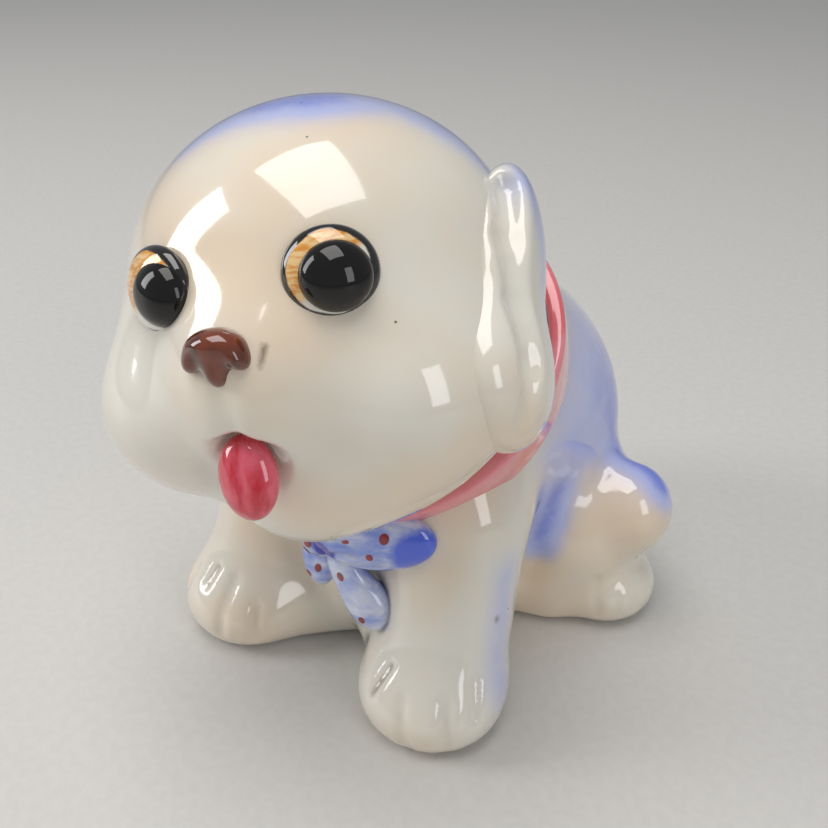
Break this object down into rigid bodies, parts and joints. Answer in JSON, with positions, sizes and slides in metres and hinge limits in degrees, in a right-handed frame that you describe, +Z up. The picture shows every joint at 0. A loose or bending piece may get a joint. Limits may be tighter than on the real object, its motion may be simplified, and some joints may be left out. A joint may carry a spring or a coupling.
{
  "type": "ceramic dog figurine",
  "caption": "Glazed ceramic puppy sitting with its head raised and turned, with hanging ears, a pink collar and a blue bow: a free-standing ornament for a shelf.",
  "frame": {"origin": "on the table, in the middle of the figurine's footprint box", "axes": "+Z up through the head, -Y the way the body faces, +X the puppy's left"},
  "size_m": [0.1144, 0.142, 0.1369],
  "materials": {
    "white_glaze": "clear high-gloss glaze over cream-white clay, with blue sprayed shading",
    "eye_glaze": "gloss glaze, amber brushed over white with a black rim",
    "pupil_glaze": "gloss black glaze",
    "nose_glaze": "gloss red-brown glaze",
    "tongue_glaze": "gloss red brushwork under clear glaze",
    "collar_glaze": "gloss salmon pink brushwork under clear glaze",
    "bow_glaze": "gloss blue and white brushwork with crimson dots under clear glaze"
  },
  "bodies": {
    "root": {"body_casting": "white_glaze", "head_casting": "white_glaze", "ear_left": "white_glaze", "ear_right": "white_glaze", "tail": "white_glaze", "eye_left": "eye_glaze", "eye_right": "eye_glaze", "pupil_left": "pupil_glaze", "pupil_right": "pupil_glaze", "nose": "nose_glaze", "tongue": "tongue_glaze", "collar": "collar_glaze", "bow_knot": "bow_glaze", "bow_loop_left": "bow_glaze", "bow_loop_right": "bow_glaze", "bow_tail_left": "bow_glaze", "bow_tail_right": "bow_glaze"}
  },
  "joints": []
}
